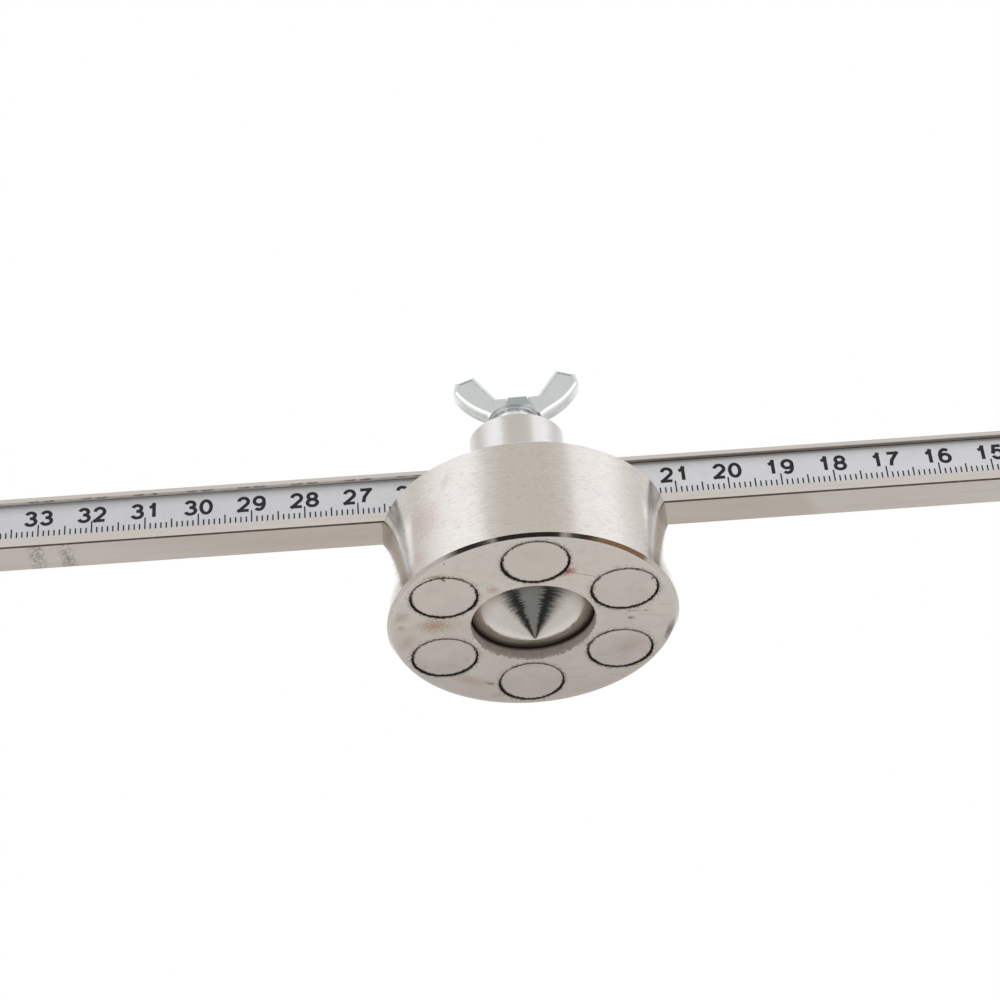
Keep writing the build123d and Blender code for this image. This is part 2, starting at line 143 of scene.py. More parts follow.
SILVER_SHADE = (0.2, 0.19, 0.185)
INK = (0.013, 0.013, 0.015)
ZINC = (0.585, 0.605, 0.595)
ZINC_GREY = (0.72, 0.72, 0.7)
ZINC_DARK = (0.4, 0.395, 0.375)
ZINC_BEVEL = (0.4, 0.405, 0.4)
ZINC_FOOT_SHADE = (0.235, 0.24, 0.235)
ZINC_PAINTED_HIGHLIGHT = (0.8, 0.8, 0.8)
BLACK_OXIDE = (0.02, 0.02, 0.022)
BRONZE = (0.48, 0.31, 0.13)
GRIME_AND_SHADE = (0.052, 0.036, 0.029)
RING_BROWN = (0.12, 0.08, 0.058)
BROWN_WEAR_AND_REFLECTION = (0.3, 0.24, 0.19)
RUST = (0.33, 0.17, 0.1)
BROWN = (0.36, 0.27, 0.21)
DARK_BROWN = (0.13, 0.07, 0.055)
CHIP = (0.1, 0.08, 0.07)
RED = (0.33, 0.06, 0.05)

# Light that gloss sees, as radiance
ROOM_LIGHT = (0.98, 0.98, 0.98)
SOFTBOX_LIGHT = (1.64, 1.73, 1.88)
# The softboxes' share in it, by azimuth in degrees from the camera's side towards +X
SOFTBOX_SHARES = (
    (-158, 0.8),
    (-134, 0.42),
    (-118, 0.24),
    (-97, 0.06),
    (-83, 0.5),
    (-70, 0.86),
    (-52, 1.04),
    (-40, 0.95),
    (-30, 0.26),
    (-17, 0.0),
    (17, 0.0),
    (34, 0.14),
    (42, 0.84),
    (57, 0.93),
    (72, 1.04),
    (88, 0.48),
    (106, 0.14),
    (120, 0.24),
    (134, 0.42),
    (158, 0.8),
)
LOW_BOX_LIGHT = (1.76, 1.72, 1.74)
UNDER_LIGHT = (0.86, 0.86, 0.86)
CEILING_LIGHT = (0.62, 0.65, 0.645)
STAND_LIGHT = (0.025, 0.028, 0.028)
STAND_MIDDLE = (0.29, 0.31, 0.315)
FRONT_DARK = (0.035, 0.03, 0.028)
FRONT_BROWN = (0.34, 0.22, 0.13)
# Where these lie. Four numbers are where a share starts to rise, is full, starts to fall and is gone.
BOX_HEIGHTS = (0.1, 0.3, 0.8, 0.95)  # the sine of the elevation
UNDER_HEIGHTS = (-0.2, -0.5)
CEILING_HEIGHTS = (0.88, 0.94)
LOW_BOX_TURNS = (28, 36, 80, 88)  # degrees from the camera's side, either way
LOW_BOX_TOP = (0.25, 0.35)
LOW_BOX_EDGE = (-1.07, 0.009)  # the height of its lower edge straight ahead, and the rise in a degree
BELOW_HEIGHTS = (-0.1, -0.25)
# On a plane one unit under the part: away from the camera's side, and to the right or to both sides
STAND_AHEAD = (-0.9, -0.75, 0.6, 0.75)
STAND_FADE = 0.4
STAND_EDGES = (0.7, 0.94)  # left, right
MIDDLE_AHEAD = (-0.35, -0.25)
MIDDLE_SIDES = (0.215, 0.23)
FRONT_AHEAD = (-1.15, -1.0)
FRONT_SIDES = (0.9, 1.15)
FRONT_LINE = (-0.2, 0.25)  # its far edge in the middle, and how much farther that is to the sides
BROWN_AHEAD = (-0.6, -0.5)
BROWN_RIGHT = (0.55, 0.8, 2.1, 2.4)

# Stains on the magnet face: place, size (both in millimetres), turn in degrees, share, colour
STAINS = (
    ((-18.1, -1.4), (3.4, 2.3), 4, 0.7, RUST),
    ((-16.6, -1.4), (6.0, 3.4), 0, 0.45, BROWN),
    ((-7.3, -11.3), (1.3, 1.2), 0, 0.55, RUST),
    ((-17.3, -16.4), (2.2, 0.6), -10, 0.7, RUST),
    ((-12.2, 17.0), (5.0, 1.8), 32, 0.6, BROWN),
    ((-8.4, 18.6), (1.2, 0.6), 25, 0.7, GRIME_AND_SHADE),
    ((-6.7, 22.6), (2.6, 1.0), -6, 0.5, BROWN),
    ((-23.3, 3.6), (1.6, 3.0), 20, 0.5, BROWN),
    ((-24.0, -4.6), (1.6, 2.2), 30, 0.55, BROWN),
    ((-24.2, -1.4), (0.8, 1.0), 0, 0.7, BROWN),
    ((-26.2, -2.4), (0.4, 1.4), 0, 0.7, GRIME_AND_SHADE),
    ((25.2, 4.8), (0.85, 4.2), 14, 1.0, DARK_BROWN),
    ((17.8, 0.3), (0.9, 0.6), 0, 0.75, CHIP),
    ((6.3, -15.3), (1.9, 1.3), -20, 0.95, RED),
    ((-15.55, -20.1), (0.22, 0.35), 0, 0.9, GRIME_AND_SHADE),
    ((6.3, 26.7), (2.2, 1.2), -20, 0.25, BROWN),
)
# Stains and chips on the magnets, in the same way
MAGNET_STAINS = (
    ((-15.9, -15.3), (0.45, 0.75), -30, 0.95, GRIME_AND_SHADE),
    ((-20.4, 11.4), (1.4, 0.9), 0, 0.4, BROWN),
    ((-12.5, 10.2), (0.8, 1.0), 0, 0.3, BROWN),
    ((11.0, -9.6), (0.5, 1.2), 0, 0.55, RUST),
    ((18.3, 9.0), (4.4, 3.4), 40, 0.4, BROWN),
    ((13.7, 15.6), (1.0, 0.7), 0, 0.95, GRIME_AND_SHADE),
    ((21.5, -11.5), (0.5, 0.6), 0, 0.8, GRIME_AND_SHADE),
    ((0.5, -21.0), (4.5, 2.5), 20, 0.16, BROWN),
    ((19.6, -8.0), (0.8, 0.5), 20, 0.3, BROWN),
)
# Marks on the base's side, in the same way: places along X and Z
SIDE_STAINS = (
    ((-18.2, 10.6), (3.4, 4.6), 12, 0.34, (0.4, 0.25, 0.255)),
    ((-14.4, 16.4), (1.0, 2.4), -18, 0.4, (0.3, 0.27, 0.25)),
    ((-20.2, 3.6), (1.6, 2.6), 30, 0.3, (0.4, 0.28, 0.26)),
    ((12.6, 5.2), (2.6, 3.2), 0, 0.16, (0.42, 0.3, 0.28)),
)
# Scratches on the magnet face: two ends and width in millimetres, share, colour
SCRATCHES = (
    ((6.9, -15.0), (12.9, -12.4), 0.2, 0.6, RED),
    ((17.3, -1.9), (20.8, -1.7), 0.26, 0.75, CHIP),
    ((19.0, -0.9), (25.2, 0.5), 0.22, 0.4, BROWN),
    ((23.0, -3.3), (24.6, -3.1), 0.2, 0.6, BROWN),
    ((5.4, 18.2), (9.8, 18.4), 0.22, 0.45, BROWN),
    ((14.0, 18.2), (17.5, 19.4), 0.26, 0.6, BROWN),
    ((5.0, 26.9), (7.3, 26.1), 0.3, 0.4, BROWN),
    ((-9.3, 17.9), (-7.8, 19.2), 0.24, 0.5, BROWN),
)

# Places in the finishes, in millimetres
GAP = 0.15  # between a magnet and its pocket
CRUMBS_REACH = 1.5  # how far from a magnet dirt crumbs lie
FLANK_X = (20.4, 21.6)  # where the side turns bright, to the left and right
FLANK_Z = (1.5, 4.0, 11.5, 15.0)
RIM_R = (25.2, 26.1)  # where the magnet face turns pale
WELL_R = 11.7
WELL_SHADE_FOOT = (1.7, 2.4)  # where painted shade darkens the well's wall towards its foot, above the magnet face
WELL_EDGE_Z = (0.3, 0.5)  # where its worn edge ends
POINT_RIM_REFLECTION_R = (7.5, 11.2)  # where the centre point takes a painted brown reflection of the well's wall
SCRAPES = ((-92.5, -90.3), (-86.6, -84.6))  # scraped patches under the rail, along it
CLOUDS_END = (55.0, 57.0)  # where the cloudy part of the rail's underside ends, along it
PALE_END = (-50.0, -80.0)  # where it turns paler, away from the torch
WALL_Z = (TAPE_TOP - 0.4, TAPE_TOP - 0.2)  # above which the groove's upper wall lies
WALL_X = (-30.0, 30.0)  # where that wall goes over from leaning, with a painted reflection, to plain
WALL_LEAN = 0.3  # its slope
LIP_SHADOW_Z = (TAPE_TOP - 2.6, TAPE_TOP)  # where a painted shadow of the groove's upper edge darkens the tape
LIP_SHADOW_X = (-20.0, 40.0)  # where that painted shadow gets weaker, towards the torch
SHADE_Z = (TAPE_TOP - 0.75, TAPE_TOP - 0.25)  # a darker painted shadow, close to that edge
SILVER_FAR_X = (0.0, -60.0)  # where the tape gets greyer, away from the torch
WING_FOOT_R = 5.0
WING_FOOT_Z = BOSS_TOP + 4.95  # the underside of the wing screw's hub
WING_FOOT_SHADE_BAND = (0.05, 0.15, 0.85, 1.0)  # its band of painted shade, above that
WING_HALF = 1.5  # of the wings' thickness
WING_SLOPE = math.tan(math.radians(1.5))  # of the wings, against the rail


def add_camera():
    """The photograph's view of the part, from below and in front."""
    data = bpy.data.cameras.new("camera")
    data.lens = CAMERA_LENS
    data.sensor_width = CAMERA_SENSOR
    data.clip_start = CAMERA_CLIP
    camera = bpy.data.objects.new("camera", data)
    camera.location = CAMERA_PLACE
    camera.rotation_euler = [math.radians(a) for a in CAMERA_TURN]
    bpy.context.scene.collection.objects.link(camera)
    bpy.context.scene.camera = camera


class Nodes:
    """Short calls for the nodes of a tree."""

    def __init__(self, tree):
        self.tree = tree

    def add(self, kind, **settings):
        node = self.tree.nodes.new(kind)
        for key, value in settings.items():
            setattr(node, key, value)
        return node

    def put(self, value, socket):
        """Links a node's output to a socket, or writes a plain value on it."""
        if isinstance(value, bpy.types.NodeSocket):
            self.tree.links.new(value, socket)
        elif isinstance(value, (tuple, list)) and len(value) == 3 and socket.type == "RGBA":
            socket.default_value = (*value, 1)
        else:
            socket.default_value = value

    def math(self, kind, a, b=0.0, clamp=False):
        node = self.add("ShaderNodeMath", operation=kind, use_clamp=clamp)
        self.put(a, node.inputs[0])
        self.put(b, node.inputs[1])
        return node.outputs[0]

    def product(self, value, *more):
        for factor in more:
            value = self.math("MULTIPLY", value, factor)
        return value

    def total(self, value, *more):
        for term in more:
            value = self.math("ADD", value, term)
        return value

    def inverse(self, share):
        """What a share leaves of the whole."""
        return self.math("SUBTRACT", 1.0, share)

    def vector(self, kind, a, b=(0, 0, 0)):
        node = self.add("ShaderNodeVectorMath", operation=kind)
        self.put(a, node.inputs[0])
        self.put(b, node.inputs[1])
        return node.outputs["Value"] if kind == "LENGTH" else node.outputs[0]

    def split(self, vector):
        node = self.add("ShaderNodeSeparateXYZ")
        self.put(vector, node.inputs[0])
        return node.outputs

    def combine(self, x, y, z):
        node = self.add("ShaderNodeCombineXYZ")
        for value, socket in zip((x, y, z), node.inputs):
            self.put(value, socket)
        return node.outputs[0]

    def noise(self, place, detail, rough=0.5, distortion=0.0):
        """Noise with one cell to a unit of place."""
        node = self.add("ShaderNodeTexNoise")
        self.put(place, node.inputs["Vector"])
        self.put(1.0, node.inputs["Scale"])
        self.put(detail, node.inputs["Detail"])
        self.put(rough, node.inputs["Roughness"])
        self.put(distortion, node.inputs["Distortion"])
        return node.outputs["Fac"]

    def between(self, value, low, high, out_low=0.0, out_high=1.0, smooth=False):
        """value's share of the way from low to high, as a number between out_low and out_high."""
        node = self.add("ShaderNodeMapRange", clamp=True)
        node.interpolation_type = "SMOOTHSTEP" if smooth else "LINEAR"
        for item, socket in zip((value, low, high, out_low, out_high), node.inputs):
            self.put(item, socket)
        return node.outputs["Result"]

    def window(self, value, rise, full, ease, gone, smooth=False):
        """1 from full to ease, falling to 0 at rise and at gone."""
        rising = self.between(value, rise, full, smooth=smooth)
        return self.product(rising, self.between(value, ease, gone, 1.0, 0.0, smooth))

    def mix(self, share, a, b):
        """The colour a, with b over it by share."""
        node = self.add("ShaderNodeMix", data_type="RGBA")
        under, over = [socket for socket in node.inputs if socket.type == "RGBA"]
        self.put(share, node.inputs["Factor"])
        self.put(a, under)
        self.put(b, over)
        return next(socket for socket in node.outputs if socket.type == "RGBA")

    def bump(self, height, distance, strength):
        node = self.add("ShaderNodeBump")
        self.put(height, node.inputs["Height"])
        self.put(distance, node.inputs["Distance"])
        self.put(strength, node.inputs["Strength"])
        return node.outputs["Normal"]


class Finish(Nodes):
    """A material's node tree, around its Principled shader."""

    def __init__(self, name):
        self.material = bpy.data.materials.new(name)
        self.material.use_nodes = True
        super().__init__(self.material.node_tree)
        self.shader = self.tree.nodes["Principled BSDF"]
        self.output = self.tree.nodes["Material Output"]
        coordinates = self.add("ShaderNodeTexCoord").outputs
        self.place = coordinates["Object"]
        self.facing = coordinates["Normal"]

    def to_world(self, way):
        """A direction of the object's own, turned into the world's."""
        spaces = {"convert_from": "OBJECT", "convert_to": "WORLD"}
        node = self.add("ShaderNodeVectorTransform", vector_type="VECTOR", **spaces)
        node.inputs[0].default_value = way
        return node.outputs[0]

    def turn_round(self):
        """Gives gloss a grain that runs round the spindle's axis, and returns its direction."""
        tangent = self.add("ShaderNodeTangent", direction_type="RADIAL", axis="Z").outputs[0]
        self.put(tangent, self.shader.inputs["Tangent"])
        return tangent

    def set(self, **values):
        """Puts values on the shader's inputs, named with _ for a space, and returns the material."""
        for key, value in values.items():
            self.put(value, self.shader.inputs[key.replace("_", " ")])
        return self.material


def scaled(colour, share):
    """A darker or lighter tone of a colour."""
    return tuple(share * c for c in colour)


def stretched(g, x, y, z):
    """The object's own coordinates in millimetres, scaled along each axis."""
    return g.vector("MULTIPLY", g.place, (x / MM, y / MM, z / MM))


def round_axis(g, along, across):
    """Coordinates for lines that run round the spindle's axis.

    along is the noise cells in a radian, and across those in a millimetre of radius and height.
    """
    x, y, z = g.split(stretched(g, 1, 1, 1))
    radius = g.vector("LENGTH", g.combine(x, y, 0.0))
    safe = g.math("MAXIMUM", radius, 0.01)
    level = g.product(g.total(radius, z), across)
    ring_x = g.product(g.math("DIVIDE", x, safe), along)
    ring_y = g.product(g.math("DIVIDE", y, safe), along)
    return g.combine(ring_x, ring_y, level), radius, (x, y, z)


def leaned(g, tangent, amount, normal):
    """The normal, leaning by amount along the tangent."""
    lean = g.vector("MULTIPLY", tangent, g.combine(amount, amount, amount))
    return g.vector("NORMALIZE", g.vector("ADD", normal, lean))


def nearest_magnet(g, x, y):
    """Distance in millimetres from the nearest magnet's centre, the way to it, and the magnet's number."""
    centre = (MAGNET_LOW + MAGNET_HIGH) / 2
    first = math.atan2(centre.y, centre.x)
    ring = centre.xy.length / MM
    turn = g.math("DIVIDE", g.math("SUBTRACT", g.math("ARCTAN2", y, x), first), MAGNET_TURN)
    number = g.math("ROUND", turn)
    angle = g.total(g.product(number, MAGNET_TURN), first)
    dx = g.math("SUBTRACT", x, g.product(g.math("COSINE", angle), ring))
    dy = g.math("SUBTRACT", y, g.product(g.math("SINE", angle), ring))
    return g.vector("LENGTH", g.combine(dx, dy, 0.0)), dx, dy, number


def ring_grime(g, x, y, inner):
    """Dirt's share in and beside the gap round each magnet, and its width.

    It is thin on the side next to the camera and thick opposite. inner is for the magnets' side of the gap.
    """
    gap, dx, dy, number = nearest_magnet(g, x, y)
    number = g.product(number, 9.7)
    wide = g.noise(g.combine(g.product(dx, 0.2), g.product(dy, 0.2), number), 2.0)
    rough = g.noise(g.combine(g.product(dx, 1.7), g.product(dy, 2.2), number), 4.0, 0.8)
    lower = g.math("SUBTRACT", dy, g.product(dx, 0.12))
    width = g.between(lower, -4.5, 4.0, 0.0, 0.24, smooth=True)
    width = g.total(width, g.between(wide, 0.4, 0.65, -0.05, 0.08))
    width = g.total(width, g.between(rough, 0.3, 0.75, -0.3, 0.52))
    width = g.math("MAXIMUM", width, 0.03)
    if inner:
        edge = g.math("SUBTRACT", MAGNET_R - 0.1, width)
        return g.between(g.math("SUBTRACT", gap, edge), -0.08, 0.08), width
    edge = g.total(MAGNET_R + GAP, g.product(width, 0.7))
    dirt = g.between(g.math("SUBTRACT", gap, edge), -0.08, 0.08, 1.0, 0.0)
    crumbs = g.noise(g.combine(g.product(dx, 2.4), g.product(dy, 3.4), number), 3.0, 0.8)
    near = g.between(gap, MAGNET_R + GAP, MAGNET_R + CRUMBS_REACH, 0.2, 0.0)
    crumbs = g.between(g.total(crumbs, near), 0.66, 0.74)
    return g.math("MAXIMUM", dirt, g.product(crumbs, 0.7)), width


def blot(g, x, y, speckle, place, size, turn):
    """A ragged, granular stain's share at x and y, from 0 to 1."""
    dx = g.math("SUBTRACT", x, place[0])
    dy = g.math("SUBTRACT", y, place[1])
    c, s = math.cos(math.radians(turn)), math.sin(math.radians(turn))
    along = g.total(g.product(dx, c / size[0]), g.product(dy, s / size[0]))
    across = g.total(g.product(dx, -s / size[1]), g.product(dy, c / size[1]))
    reach = g.vector("LENGTH", g.combine(along, across, 0.0))
    dense = g.total(speckle, g.between(reach, 0.0, 1.2, 0.24, 0.0))
    spread = g.between(dense, 0.55, 0.7)
    return g.product(spread, g.between(reach, 0.8, 1.25, 1.0, 0.0, smooth=True))


def scored(g, x, y, speckle, start, end, width):
    """A scratch's share at x and y, from 0 to 1, broken where the speckle is pale."""
    run = Vector(end) - Vector(start)
    dx = g.math("SUBTRACT", x, start[0])
    dy = g.math("SUBTRACT", y, start[1])
    size = run.length_squared
    share = g.total(g.product(dx, run.x / size), g.product(dy, run.y / size))
    share = g.between(share, 0.0, 1.0)
    off_x = g.math("SUBTRACT", dx, g.product(share, run.x))
    off_y = g.math("SUBTRACT", dy, g.product(share, run.y))
    reach = g.vector("LENGTH", g.combine(off_x, off_y, 0.0))
    line = g.between(reach, width * 0.4, width, 1.0, 0.0)
    return g.product(line, g.between(speckle, 0.58, 0.44))


def stained(g, x, y, colour, stains, scratches=()):
    """The colour under its stains and scratches."""
    speckle = g.noise(stretched(g, 3.4, 2.4, 3.4), 4.0, 0.8, 0.3)
    for place, size, turn, share, stain in stains:
        spread = blot(g, x, y, speckle, place, size, turn)
        colour = g.mix(g.math("MULTIPLY", spread, share, clamp=True), colour, stain)
    for start, end, width, share, stain in scratches:
        line = scored(g, x, y, speckle, start, end, width)
        colour = g.mix(g.product(line, share), colour, stain)
    return colour


def base_metal():
    """Nickel plate on turned steel: streaks round the side, and a worn, stained magnet face."""
    g = Finish("base_nickel")
    lines, radius, (x, y, z) = round_axis(g, 3.4, 2.4)
    streaks = g.noise(lines, 4.0, 0.65)
    fine = g.noise(round_axis(g, 20, 3.6)[0], 3.0, 0.7)
    grain = g.noise(stretched(g, 2.4, 2.4, 2.4), 3.0, 0.6)
    clouds = g.noise(stretched(g, 0.1, 0.1, 0.16), 4.0, 0.6)
    specks = g.noise(stretched(g, 1.3, 1.3, 2.6), 2.0, 0.6)
    _, _, up = g.split(g.facing)
    face = g.between(up, -0.9, -0.97)
    side = g.between(g.math("ABSOLUTE", up), 0.3, 0.5, 1.0, 0.0)

    # The side: faint pinkish flecks, dark and bright hairlines in the turning marks, and bright flanks
    side_colour = g.mix(g.between(clouds, 0.4, 0.65, 0.0, 0.8), NICKEL_SIDE, NICKEL_SIDE_WARM)
    flecks = g.product(g.between(specks, 0.6, 0.75), g.between(streaks, 0.45, 0.6))
    side_colour = g.mix(g.product(flecks, 0.45), side_colour, FLECK)
    side_colour = g.mix(g.between(fine, 0.55, 0.73, 0.0, 0.46), side_colour, DARK_LINE)
    side_colour = g.mix(g.between(fine, 0.42, 0.26, 0.0, 0.34), side_colour, BRIGHT_LINE)
    side_colour = stained(g, x, z, side_colour, SIDE_STAINS)
    flank = g.between(g.math("ABSOLUTE", x), *FLANK_X, 0.0, 0.8, smooth=True)
    side_colour = g.mix(g.product(flank, g.window(z, *FLANK_Z)), side_colour, PALE_NICKEL)

    # The face: darker towards the far edge and in clouds, brown stains, scratches and dirt round the magnets
    far_darkening = g.total(g.product(y, 0.035), g.product(clouds, 1.4))
    face_colour = g.mix(g.between(far_darkening, 0.3, 1.5), NICKEL_FACE, NICKEL_DARKER)
    mottle = g.noise(stretched(g, 0.5, 0.5, 0.5), 5.0, 0.7)
    face_colour = g.mix(g.between(mottle, 0.45, 0.7, 0.0, 0.35), face_colour, NICKEL_DARKER)
    face_colour = stained(g, x, y, face_colour, STAINS, SCRATCHES)
    scratch = g.noise(stretched(g, 0.25, 5, 1), 2.0)
    scratch = g.product(g.between(scratch, 0.7, 0.76), g.between(clouds, 0.55, 0.65))
    face_colour = g.mix(g.product(scratch, 0.3), face_colour, NICKEL_SCRATCH)
    pits = g.between(g.noise(stretched(g, 1.6, 1.6, 1.6), 1.0), 0.81, 0.83)
    face_colour = g.mix(g.product(pits, 0.85), face_colour, GRIME_AND_SHADE)
    dirt, thick = ring_grime(g, x, y, False)
    face_colour = g.mix(dirt, face_colour, g.mix(g.between(thick, 0.0, 0.16), RING_BROWN, GRIME_AND_SHADE))
    face_colour = g.mix(g.between(radius, *RIM_R, 0.0, 0.35), face_colour, NICKEL_RIM)
    colour = g.mix(face, side_colour, face_colour)

    # The well round the centre point: a bright wall with painted shade towards its foot, and a worn edge
    wall = g.product(g.between(radius, WELL_R - 0.1, WELL_R, 1.0, 0.0), g.between(up, -0.5, -0.3))
    wall_colour = g.mix(g.between(mottle, 0.4, 0.65, 0.0, 0.45), WELL_WALL, scaled(WELL_WALL, 0.6))
    # Painted shade in the deep end of the well, where its wall meets the centre point
    colour = g.mix(wall, colour, g.mix(g.between(z, *WELL_SHADE_FOOT), wall_colour, GRIME_AND_SHADE))
    well_edge = g.between(radius, WELL_R - 0.02, WELL_R + 0.02, 1.0, 0.0)
    well_edge = g.product(well_edge, g.between(up, -0.4, -0.5), g.between(z, *WELL_EDGE_Z, 1.0, 0.0))
    colour = g.mix(well_edge, colour, g.mix(g.between(grain, 0.45, 0.6), WELL_EDGE, BROWN_WEAR_AND_REFLECTION))

    well = g.math("MAXIMUM", wall, well_edge)
    dirt = g.product(dirt, face)
    chamfer = g.window(up, -0.97, -0.9, -0.6, -0.5)
    rough = g.product(side, g.between(streaks, 0.3, 0.7, -0.04, 0.06))
    rough = g.total(g.between(grain, 0.3, 0.7, 0.18, 0.22), rough, g.product(well, 0.25))
    rough = g.total(rough, g.product(chamfer, -0.1), g.product(dirt, 0.4))
    metal = g.math("SUBTRACT", g.inverse(g.product(dirt, 0.9)), g.product(well, 0.6))
    tangent = g.turn_round()
    lean = g.product(g.math("SUBTRACT", streaks, 0.5), 0.09, side)
    relief = g.total(g.product(streaks, side), g.product(grain, face, 0.2))
    bumped = g.bump(relief, 0.004 * MM, 0.7)
    return g.set(
        Base_Color=colour,
        Metallic=metal,
        Roughness=rough,
        Anisotropic=0.55,
        Anisotropic_Rotation=0.25,
        Normal=leaned(g, tangent, lean, bumped),
    )


def magnet_metal():
    """Nickel-plated magnets, a little warmer than the base, dark at their worn edges."""
    g = Finish("magnet_nickel")
    x, y, _ = g.split(stretched(g, 1, 1, 1))
    clouds = g.noise(stretched(g, 0.14, 0.14, 0.14), 4.0, 0.6)
    grain = g.noise(stretched(g, 0.9, 0.9, 0.9), 4.0, 0.6)
    dirt, thick = ring_grime(g, x, y, True)
    far_darkening = g.total(g.product(y, 0.028), g.product(clouds, 1.6))
    colour = g.mix(g.between(far_darkening, 0.4, 1.4), MAGNET_LIGHT, MAGNET_DARKER)
    scratch = g.noise(stretched(g, 0.35, 4, 1), 3.0, 0.6, 0.4)
    scratch = g.product(g.between(scratch, 0.62, 0.72), g.between(clouds, 0.52, 0.62))
    colour = g.mix(g.product(scratch, 0.35), colour, MAGNET_SCRATCH)
    colour = stained(g, x, y, colour, MAGNET_STAINS)
    colour = g.mix(dirt, colour, g.mix(g.between(thick, 0.0, 0.16), RING_BROWN, GRIME_AND_SHADE))
    return g.set(
        Base_Color=colour,
        Metallic=g.inverse(g.product(dirt, 0.9)),
        Roughness=g.total(g.between(grain, 0.3, 0.7, 0.2, 0.23), g.product(dirt, 0.3)),
        Normal=g.bump(grain, 0.0003 * MM, 0.3),
    )


def turned_metal(name, colour, shade, rough, lean, along=3.4, across=2.4, spread=0.5, worn=None):
    """Bright metal turned about the spindle's axis, with grooves round it.

    spread is how far from its mean the noise gives the grooves' full lean, so that a small one makes a comb.
    The last argument gives the radii between which it turns duller and takes a painted brown reflection of
    the well's wall, towards its rim.
    """
    g = Finish(name)
    lines, radius, _ = round_axis(g, along, across)
    streaks = g.noise(lines, 5.0, 0.7)
    clouds = g.noise(stretched(g, 0.12, 0.12, 0.12), 3.0)
    tone = g.mix(g.between(clouds, 0.35, 0.7, 0.0, 0.7), colour, shade)
    tone = g.mix(g.between(streaks, 0.55, 0.8, 0.0, 0.35), tone, scaled(colour, 0.6))
    rough = g.between(streaks, 0.3, 0.7, rough * 0.8, rough * 1.2)
    # Towards the rim: rougher, and with a painted brown reflection of the well's wall
    if worn:
        rim_zone = g.between(radius, *worn, smooth=True)
        tone = g.mix(g.product(rim_zone, 0.75), tone, BROWN_WEAR_AND_REFLECTION)
        rough = g.total(rough, g.product(rim_zone, 0.2))
    tangent = g.turn_round()
    lean = g.between(streaks, 0.5 - spread, 0.5 + spread, -lean / 2, lean / 2)
    return g.set(
        Base_Color=tone,
        Metallic=1.0,
        Roughness=rough,
        Anisotropic=0.5,
        Anisotropic_Rotation=0.25,
        Normal=leaned(g, tangent, lean, g.bump(streaks, 0.006 * MM, 0.7)),
    )


def rail_metal():
    """Nickel plate on bright flat bar: drawn lines along it, clouds, and scraped patches underneath."""
    g = Finish("rail_nickel")
    x, y, z = g.split(stretched(g, 1, 1, 1))
    drawn = g.noise(stretched(g, 0.04, 6, 6), 4.0, 0.6)
    grain = g.noise(stretched(g, 0.5, 4, 4), 3.0, 0.6)
    clouds = g.noise(stretched(g, 0.03, 0.2, 0.2), 4.0, 0.6)
    _, fore, up = g.split(g.facing)
    under = g.between(up, -0.9, -0.97)
    colour = g.mix(g.between(clouds, 0.35, 0.65, 0.0, 0.8), RAIL_NICKEL, RAIL_WARM)
    cloud_edge = g.total(x, g.product(y, -0.45))
    cloudy = g.between(g.total(cloud_edge, g.product(clouds, 4.0)), *CLOUDS_END, 0.85, 0.25)
    cloudy = g.total(cloudy, g.between(x, *PALE_END, 0.0, -0.65), g.between(clouds, 0.3, 0.7, -0.2, 0.25))
    colour = g.mix(g.math("MULTIPLY", under, cloudy, clamp=True), colour, RAIL_UNDER)
    front_edge = g.product(g.between(fore, -0.4, -0.6), g.between(up, -0.4, -0.6))
    chipped = g.noise(stretched(g, 0.7, 5, 5), 4.0, 0.7)
    front_edge = g.product(front_edge, g.between(chipped, 0.3, 0.5, 0.55, 1.0))
    colour = g.mix(front_edge, colour, EDGE_BROWN)
    colour = g.mix(g.between(drawn, 0.58, 0.75, 0.0, 0.3), colour, RAIL_LINE)
    patch = g.total(*[
        g.window(x, start - 1, start + 0.5, end - 0.5, end + 1, smooth=True) for start, end in SCRAPES
    ])
    cracks = g.noise(stretched(g, 0.55, 0.45, 0.5), 5.0, 0.8, 1.0)
    cracks = g.between(g.math("ABSOLUTE", g.math("SUBTRACT", cracks, 0.5)), 0.01, 0.03, 1.0, 0.0)
    scrape = g.product(cracks, patch, under)
    colour = g.mix(g.product(scrape, 0.85), colour, RAIL_CRACK)
    g.put(g.to_world((1.0, 0.0, 0.0)), g.shader.inputs["Tangent"])

    # The groove's upper wall leans a little, more towards the scale's far end, and carries a painted
    # reflection of the tape there, paler than the rest
    wall = g.product(under, g.between(z, *WALL_Z))
    # Painted reflection: the leaning wall is coloured pale, as the lit tape it faces would make it
    colour = g.mix(g.product(wall, g.between(x, *WALL_X, 0.9, 0.0)), colour, PALE_NICKEL)
    lean = g.product(wall, g.between(x, *WALL_X, WALL_LEAN, 0.0))
    return g.set(
        Base_Color=colour,
        Metallic=g.inverse(g.product(front_edge, 0.85)),
        Roughness=g.total(g.between(grain, 0.3, 0.7, 0.13, 0.21), g.product(scrape, 0.2)),
        Anisotropic=0.5,
        Anisotropic_Rotation=0.25,
        Normal=leaned(g, g.to_world((0.0, -1.0, 0.0)), lean, g.bump(drawn, 0.003 * MM, 0.6)),
    )


